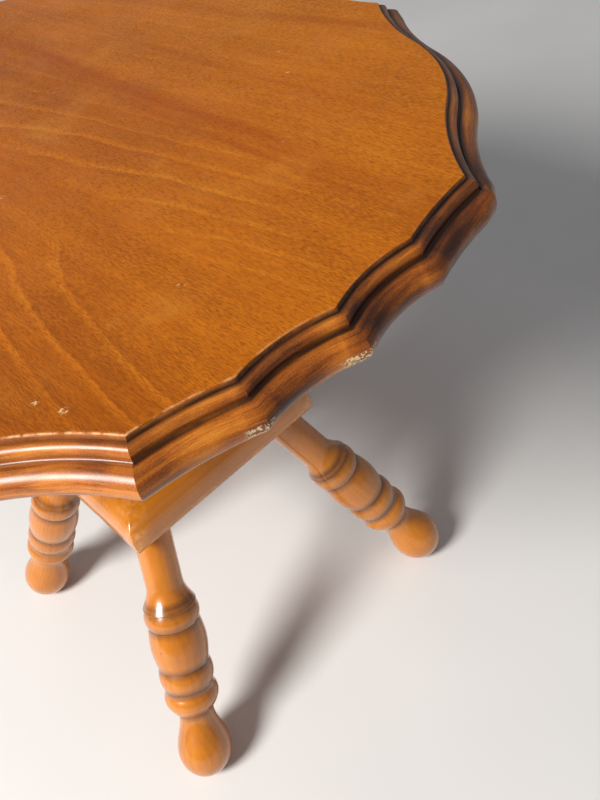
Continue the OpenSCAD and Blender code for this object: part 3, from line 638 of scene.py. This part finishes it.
def moulding(k, name, node):
    """One length of moulded edge with UVs and masks for glaze and painted shade in the hollows, painted light and
    shade on their flanks, rubbed edges and chips.
    """
    painted_lit_corner = 1.0 if node == "edge_corner_front_left" else 0.0  # painted light: this corner is the lit one, so its grooves are paler and its tone lighter
    first, count = STARTS[k], len(RUNS[k])
    bm = bmesh.new()
    groove = bm.verts.layers.float.new("groove")
    wear = bm.verts.layers.float.new("edge_wear")
    chip = bm.verts.layers.float.new("chip")
    side_light_and_shade = bm.verts.layers.float.new("side_light_and_shade")
    layer = bm.loops.layers.uv.new("UVMap")
    rings, runs, length = [], [], 0.0
    chord = (OUTLINE[(first + count) % COUNT] - OUTLINE[first]).normalized()
    side_light_and_shade_amounts = []
    for i in range(first, first + count + 1):
        ahead, behind = min(i + 2, first + count), max(i - 2, first)
        along = (OUTLINE[ahead % COUNT] - OUTLINE[behind]).normalized()
        # Painted light and shade: how far the outline here turns from the run's chord, which lightens one flank
        # of a hollow and darkens the other
        side_light_and_shade_amounts.append(max(-0.3, min(0.3, along.cross(chord))))
        ring = []
        for point in SECTION:
            p = PATHS[round(point.x, 3)][i % COUNT]
            ring.append(Vector((p.x * MM, p.y * MM, TOP_Z + point.y * MM)))
        rings.append(ring)
        runs.append(length)
        length += (OUTLINE[(i + 1) % COUNT] - OUTLINE[i % COUNT]).length * MM
    made = rings_to_mesh(bm, rings)
    bm.faces.new(reversed(made[0]))
    bm.faces.new(made[-1])
    around = [0.0]
    for a, b in zip(SECTION, SECTION[1:]):
        around.append(around[-1] + (b - a).length * MM)
    where = {}
    for i, ring in enumerate(made):
        for j, vert in enumerate(ring):
            s = SECTION[j]
            where[vert] = (runs[i] + first * 0.37, around[j])
            vert[groove] = min(1.0, 1.3 * max(max(0.0, 1 - (s - g).length / r) for g, r in GLAZE_AND_SHADE_HOLLOWS))
            # Painted light on the lit corner: less groove darkening and a lighter tone
            vert[groove] *= 1 - 0.6 * painted_lit_corner
            vert[side_light_and_shade] = side_light_and_shade_amounts[i] * (1 - 0.7 * painted_lit_corner) + 0.16 * painted_lit_corner
            lip = max(0.0, 1 - (s - Vector((0.2, -1.0))).length / 1.3)
            crest = max(0.0, 1 - (s - UPPER_C - UPPER_R * Vector((0.5, 0.86))).length / 2.5)
            belly = max(0.0, 1 - (s - LOWER_C - LOWER_R * Vector((0.75, -0.66))).length / 4)
            vert[wear] = max(lip, 0.35 * crest, 0.45 * belly)
            flat = Vector(vert.co[:2]) / MM
            hit = max(max(0.0, 1 - (flat - c).length / r) for c, r in CHIPS)
            vert[chip] = min(1.0, 2.2 * hit) * (1.0 if s.y < LOWER_C.y + 1 and s.x > 8 else 0.0)
            if vert[chip] > 0:
                dent = noise.noise(vert.co * 420)
                vert.co += Vector((0, 1, 0)) * max(0.0, dent) * vert[chip] * 1.1 * MM
    for face in bm.faces:
        for loop in face.loops:
            loop[layer].uv = where[loop.vert]
    obj = new_object(name, bm, MOULDING_LOOK, 30)
    attach(obj, "top", node)


MOULDINGS = (
    ("moulding_front", "edge_front"),
    ("moulding_corner_front_right", "edge_corner_front_right"),
    ("moulding_right", "edge_right"),
    ("moulding_corner_back_right", "edge_corner_back_right"),
    ("moulding_back", "edge_back"),
    ("moulding_corner_back_left", "edge_corner_back_left"),
    ("moulding_left", "edge_left"),
    ("moulding_corner_front_left", "edge_corner_front_left"),
)
for index, (piece_name, cad_node) in enumerate(MOULDINGS):
    moulding(index, piece_name, cad_node)


# ---- Face veneer -----------------------------------------------------------------------------------


def veneer_sheet():
    """Thin sheet with a softened, slightly rubbed edge that carries a painted highlight, as rings that step in
    from the outline.
    """
    bm = bmesh.new()
    wear = bm.verts.layers.float.new("edge_wear")
    insets = (
        (0.0, -VENEER / MM, 1.0),
        (0.0, -0.35, 1.0),
        (-0.12, -0.12, 1.0),
        (-0.4, 0.0, 0.9),
        (-0.9, 0.0, 0.35),
        (-1.8, 0.0, 0.0),
    )
    rings = []
    for d, z, _ in insets:
        rings.append(
            [
                Vector(((p.x + d * m.x) * MM, (p.y + d * m.y) * MM, TOP_Z + z * MM))
                for p, m in ((OUTLINE[i], mitre(i)) for i in range(COUNT))
            ]
        )
    made = rings_to_mesh(bm, rings)
    for ring, (_, _, amount) in zip(made, insets):
        for vert in ring:
            vert[wear] = amount
    bm.faces.new(made[-1])
    bm.faces.new(reversed(made[0]))
    attach(new_object("top_veneer_sheet", bm, VENEER_LOOK, 60), "top", "face_veneer")


veneer_sheet()


# ---- Turned pieces -----------------------------------------------------------------------------------


def bead(z0, z1, groove_r, top_r, n=24):
    """Half wave from groove to groove."""
    shares = [i / n for i in range(n + 1)]
    return [(groove_r + (top_r - groove_r) * math.sin(math.pi * t), z0 + (z1 - z0) * t) for t in shares]


def ogee(z0, z1, r0, r1):
    """S curve from one radius to another, without its first point."""
    shares = [i / 32 for i in range(1, 33)]
    return [(r0 + (r1 - r0) * (1 - math.cos(math.pi * t)) / 2, z0 + (z1 - z0) * t) for t in shares]


def cove(z0, z1, r0, r1):
    """Quarter wave hollow from one radius to another, without its first point."""
    shares = [i / 24 for i in range(1, 25)]
    return [(r1 + (r0 - r1) * (1 - math.sin(math.pi / 2 * t)), z0 + (z1 - z0) * t) for t in shares]


LATHE_SEGMENTS = 96
WOBBLE = 0.12  # how far turning and wear leave the surface from round, in millimetres


def lathe(name, profile, grooves, material, seed):
    """Turned solid about its own Z axis, in metres, from (radius, height) in millimetres."""
    bm = bmesh.new()
    groove = bm.verts.layers.float.new("groove")
    bm.verts.layers.float.new("edge_wear")
    rings = []
    for r, z in profile:
        ring = []
        for i in range(LATHE_SEGMENTS):
            a = 2 * math.pi * i / LATHE_SEGMENTS
            off = noise.noise(Vector((math.cos(a) * 0.8, math.sin(a) * 0.8, z * 0.03 + seed))) * WOBBLE
            rr = max(r + off - WOBBLE * 0.5, 0.01) if r > 1 else max(r, 0.01)
            ring.append(Vector((rr * math.cos(a), rr * math.sin(a), z)) * MM)
        rings.append(ring)
    made = rings_to_mesh(bm, rings)
    bm.faces.new(reversed(made[0]))
    bm.faces.new(made[-1])
    # Mask for the glaze and painted shade in the grooves
    for ring, (_, z) in zip(made, profile):
        depth = max(max(0.0, 1 - abs(z - g) / w) for g, w in grooves)
        for vert in ring:
            vert[groove] = depth
    return new_object(name, bm, material, 40)


BULB_R, BULB_BELOW, FOOT_NECK_R = 25.3, 29.0, 16.5
GROOVE_R, BEAD_R, BARREL_R, RING_R, NECK_R = 22.9, 25.2, 26.0, 23.9, 16.7
FOOT_NECK, BEAD_3, GROOVE_4, GROOVE_3, GROOVE_2, GROOVE_1, NECK = 39.0, 47.0, 72.0, 94.0, 136.0, 153.0, 175.0
LEG_LEAN, FOOT_OFFSET, FOOT_FLAT = 0.37, 151.8, 0.8
LEG_TILT = math.atan(LEG_LEAN * math.sqrt(2))
LEG_PROFILE = (
    [
        (BULB_R * math.cos(math.radians(a)), BULB_BELOW * math.sin(math.radians(a)))
        for a in [-90 + 90 * i / 28 for i in range(29)]
    ]
    + ogee(0, FOOT_NECK, BULB_R, FOOT_NECK_R)
    + [(FOOT_NECK_R + 0.4, BEAD_3 - 2.5)]
    + [
        (max(r, GROOVE_R) if z > (BEAD_3 + GROOVE_4) / 2 else r, z)
        for r, z in bead(BEAD_3, GROOVE_4, FOOT_NECK_R + 3.5, BEAD_R)
    ]
    + bead(GROOVE_4, GROOVE_3, GROOVE_R, BEAD_R)
    + bead(GROOVE_3, GROOVE_2, GROOVE_R + 0.4, BARREL_R, 32)
    + bead(GROOVE_2, GROOVE_1, GROOVE_R + 0.2, BEAD_R)
    + [(RING_R, GROOVE_1 + 1.6)]
    + cove(GROOVE_1 + 1.6, NECK, RING_R, NECK_R)
)
FOOT_Z = -min(z * math.cos(LEG_TILT) - r * math.sin(LEG_TILT) for r, z in LEG_PROFILE) - FOOT_FLAT
# Middle of each groove darkened by glaze and painted shade, and its half width
LEG_GLAZE_AND_SHADE_GROOVES = (
    (45.0, 7.0),
    (GROOVE_4, 6.5),
    (GROOVE_3, 7.0),
    (GROOVE_2, 7.0),
    (GROOVE_1 + 1, 6.0),
    (GROOVE_1 + 6, 5.0),
)


def leg(corner, sx, sy, seed):
    """Turned leg in its own axes, cut flat by the floor and by the plinth's underside."""
    top = (PLINTH_LOW / MM - FOOT_Z) / math.cos(LEG_TILT)
    heights = (NECK + 12, NECK + 30, NECK + 50, top + 12)
    neck = [(NECK_R + 0.1 * (z - NECK) / (top - NECK), z) for z in heights]
    look = turned_wood("leg_wood_" + corner, seed, 0.02 * math.sin(seed * 5))
    obj = lathe("leg_turning_" + corner, LEG_PROFILE + neck, LEG_GLAZE_AND_SHADE_GROOVES, look, seed)
    turn = Matrix.Rotation(math.atan2(-sy, -sx), 4, "Z") @ Matrix.Rotation(LEG_TILT, 4, "Y")
    foot = Vector((sx * FOOT_OFFSET * MM, sy * FOOT_OFFSET * MM + BASE_Y, 0))
    obj.matrix_world = Matrix.Translation(foot + Vector((0, 0, FOOT_Z * MM))) @ turn
    bpy.context.view_layer.update()
    bm = bmesh.new()
    bm.from_mesh(obj.data)
    back = obj.matrix_world.inverted()
    down = back.to_3x3() @ Vector((0, 0, 1))
    for height, keep_above in ((0.0, True), (PLINTH_LOW, False)):
        cut = bmesh.ops.bisect_plane(
            bm,
            geom=bm.verts[:] + bm.edges[:] + bm.faces[:],
            plane_co=back @ (foot + Vector((0, 0, height))),
            plane_no=down,
            clear_inner=keep_above,
            clear_outer=not keep_above,
        )
        rim = [e for e in cut["geom_cut"] if isinstance(e, bmesh.types.BMEdge)]
        bmesh.ops.edgeloop_fill(bm, edges=rim)
    for edge in bm.edges:
        sharp = len(edge.link_faces) == 2 and edge.calc_face_angle(0.0) > math.radians(40)
        edge.smooth = not sharp
    bm.to_mesh(obj.data)
    bm.free()
    attach(obj, "stand", "leg_" + corner)


leg("front_left", -1, -1, 1.3)
leg("front_right", 1, -1, 4.1)
leg("back_left", -1, 1, 7.7)
leg("back_right", 1, 1, 9.2)


def column():
    """Turned column between the plinth and the head block, wider and narrower by shares of its height."""
    h = (HEAD_LOW - PLINTH_HIGH) / MM
    foot, waist, vase, ring, collar = 37.0, 19.0, 33.0, 27.0, 30.0
    profile = (
        [(0.01, 0), (foot - 2, 0)]
        + bead(0.01 * h, 0.1 * h, foot - 2, foot + 1)
        + [(foot - 6, 0.105 * h)]
        + cove(0.105 * h, 0.2 * h, foot - 6, waist + 2)
        + bead(0.2 * h, 0.24 * h, waist + 2, waist + 5)
        + ogee(0.24 * h, 0.44 * h, waist + 2, vase)
        + ogee(0.44 * h, 0.74 * h, vase, waist)
        + bead(0.745 * h, 0.79 * h, waist + 3, ring - 2)
        + bead(0.79 * h, 0.85 * h, ring - 4, ring)
        + ogee(0.85 * h, 0.93 * h, ring - 4, waist + 3)
        + [(collar - 1, 0.935 * h), (collar, 0.95 * h), (collar, h), (0.01, h)]
    )
    # Grooves darkened by glaze and painted shade
    grooves = [(f * h, 2.4) for f in (0.005, 0.103, 0.2, 0.24, 0.745, 0.79, 0.85, 0.93)]
    obj = lathe("column_turning", profile, grooves, turned_wood("column_wood", 12.4), 3.3)
    obj.matrix_world = Matrix.Translation((0, BASE_Y, PLINTH_HIGH))
    attach(obj, "stand", "column")


column()


def plinth():
    """Square block with rounded upper edges, as rounded squares stacked upwards."""
    half = (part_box("plinth")[1].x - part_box("plinth")[0].x) / 2
    round_r = 23 * MM
    low, high = PLINTH_LOW, PLINTH_HIGH
    levels = [(half - 1.0 * MM, low), (half - 0.35 * MM, low + 0.3 * MM)]
    levels += [(half, low + 1.0 * MM), (half, low + 6 * MM)]
    for i in range(25):
        a = math.radians(90 * i / 24)
        levels.append((half - round_r + round_r * math.cos(a), high - round_r + round_r * math.sin(a)))
    bm = bmesh.new()
    wear = bm.verts.layers.float.new("edge_wear")
    bm.verts.layers.float.new("groove")
    corner_r, corner_steps, side_steps = 1.5 * MM, 6, 10
    rings = []
    for w, z in levels:
        ring = []
        for q in range(4):
            turn = Matrix.Rotation(math.radians(90 * q), 2)
            for i in range(side_steps):
                t = -1 + 2 * i / side_steps
                ring.append((turn @ Vector((w, t * (w - corner_r)))).to_3d() + Vector((0, 0, z)))
            for i in range(corner_steps + 1):
                a = math.radians(90 * i / corner_steps)
                c = Vector((w - corner_r + corner_r * math.cos(a), w - corner_r + corner_r * math.sin(a)))
                ring.append((turn @ c).to_3d() + Vector((0, 0, z)))
        rings.append(ring)
    made = rings_to_mesh(bm, rings)
    for ring in made:
        for vert in ring:
            near = half - max(abs(vert.co.x), abs(vert.co.y))
            on_corner = abs(abs(vert.co.x) - abs(vert.co.y)) < 3 * MM
            vert[wear] = 1.0 if on_corner or (near < 1.2 * MM and vert.co.z < low + 2 * MM) else 0.0
    bm.faces.new(made[-1])
    bm.faces.new(reversed(made[0]))
    obj = new_object("plinth_block", bm, turned_wood("plinth_wood", 15.8, 0.02, 0), 50)
    obj.matrix_world = Matrix.Translation((0, BASE_Y, 0))
    attach(obj, "stand", "plinth")


plinth()


# ---- Hidden and small pieces: CAD shapes with softened edges ---------------------------------------------


def softened(node, name, body, material, width):
    """Copy of a CAD node's mesh with flat faces merged and its hard edges rounded."""
    bm = bmesh.new()
    bm.from_mesh(NODES[node].data)
    bmesh.ops.remove_doubles(bm, verts=bm.verts, dist=1e-6)
    bmesh.ops.dissolve_limit(bm, angle_limit=math.radians(1.0), verts=bm.verts, edges=bm.edges)
    bm.verts.layers.float.new("groove")
    bm.verts.layers.float.new("edge_wear")
    obj = new_object(name, bm, material, 35)
    bevel = obj.modifiers.new("soft_edges", "BEVEL")
    bevel.width = width
    bevel.segments = 2
    bevel.limit_method = "ANGLE"
    bevel.angle_limit = math.radians(40)
    bevel.harden_normals = False
    bevel.use_clamp_overlap = True
    attach(obj, body, node)


HEAD_LOOK = turned_wood("head_wood", 21.0, -0.05, 0)
softened("head_block", "head_block_wood", "stand", HEAD_LOOK, 0.0010)
softened("batten_front", "batten_front_wood", "top", BATTEN_LOOK, 0.0009)
softened("batten_back", "batten_back_wood", "top", BATTEN_LOOK, 0.0009)
softened("catch_plate", "catch_plate_brass", "top", BRASS_LOOK, 0.00025)
softened("strike_plate", "strike_plate_brass", "stand", BRASS_LOOK, 0.00025)
CAD_LOOKS = {
    "top_core": CORE_LOOK,
    "backing_veneer": BACK_LOOK,
    "batten_screws": STEEL_LOOK,
    "pivot_pin_front": STEEL_LOOK,
    "pivot_pin_back": STEEL_LOOK,
    "head_screw": STEEL_LOOK,
    "column_wedge": BATTEN_LOOK,
    "catch_bolt": BRASS_LOOK,
    "catch_knob": BRASS_LOOK,
    "catch_screws": BRASS_LOOK,
    "strike_screws": BRASS_LOOK,
}
for node_name, look in CAD_LOOKS.items():
    for material_slot in NODES[node_name].material_slots:
        material_slot.material = look


# ---- Floor, light and camera -------------------------------------------------------------------------------


def floor():
    """Pale floor that curves up behind the table."""
    bm = bmesh.new()
    size, back, rise, bend = 6.0, 3.2, 4.0, 1.4
    path = [(-size, 0.0), (back - bend, 0.0)]
    for i in range(1, 13):
        a = math.radians(90 * i / 12)
        path.append((back - bend + bend * math.sin(a), bend - bend * math.cos(a)))
    path.append((back, rise))
    rows = [[bm.verts.new((x, y, z)) for x in (-size, size)] for y, z in path]
    for a, b in zip(rows, rows[1:]):
        bm.faces.new((a[0], a[1], b[1], b[0]))
    n = Nodes("pale_floor")
    mottle = n.noise(n.scaled((3, 3, 3)), 1.0, 2, 0.5)
    shade = n.ramp(mottle, [(0.3, (0.68, 0.68, 0.68)), (0.7, (0.72, 0.72, 0.72))])
    obj = new_object("floor", bm, n.finish(shade, 0.8), 60)


floor()


def key_light():
    """One large soft light on the left."""
    data = bpy.data.lights.new("key_light", "AREA")
    data.shape = "DISK"
    data.size = 1.2
    data.energy = 150
    data.color = (1.0, 0.97, 0.92)
    obj = bpy.data.objects.new("key_light", data)
    obj.location = (-2.38, BASE_Y - 0.17, 2.25)
    target = Vector((0.0, BASE_Y, 0.35))
    obj.rotation_euler = (target - obj.location).to_track_quat("-Z", "Y").to_euler()
    bpy.context.scene.collection.objects.link(obj)


key_light()

world = bpy.data.worlds.new("studio")
world.use_nodes = True
world.node_tree.nodes["Background"].inputs["Color"].default_value = (0.95, 0.97, 1.0, 1)
world.node_tree.nodes["Background"].inputs["Strength"].default_value = 0.25
bpy.context.scene.world = world
bpy.context.scene.view_settings.view_transform = "Standard"


def camera():
    """Camera at the front left, looking down over the nearest corner of the top."""
    heading, down, roll = math.radians(32.12), math.radians(43.72), math.radians(-16.58)
    level = Vector((math.sin(heading), math.cos(heading), 0)) * math.cos(down)
    forward = level - Vector((0, 0, math.sin(down)))
    right = forward.cross(Vector((0, 0, 1))).normalized()
    up = right.cross(forward)
    right_rolled = math.cos(roll) * right + math.sin(roll) * up
    up_rolled = -math.sin(roll) * right + math.cos(roll) * up
    data = bpy.data.cameras.new("camera")
    data.sensor_width = 36.0
    data.lens = 36.891
    data.shift_x = 0.002
    data.shift_y = -0.001
    obj = bpy.data.objects.new("camera", data)
    turn = Matrix((right_rolled, up_rolled, -forward)).transposed().to_4x4()
    obj.matrix_world = Matrix.Translation((-0.1930, BASE_Y - 0.5518, TOP_Z + 0.2484)) @ turn
    bpy.context.scene.collection.objects.link(obj)
    bpy.context.scene.camera = obj


camera()
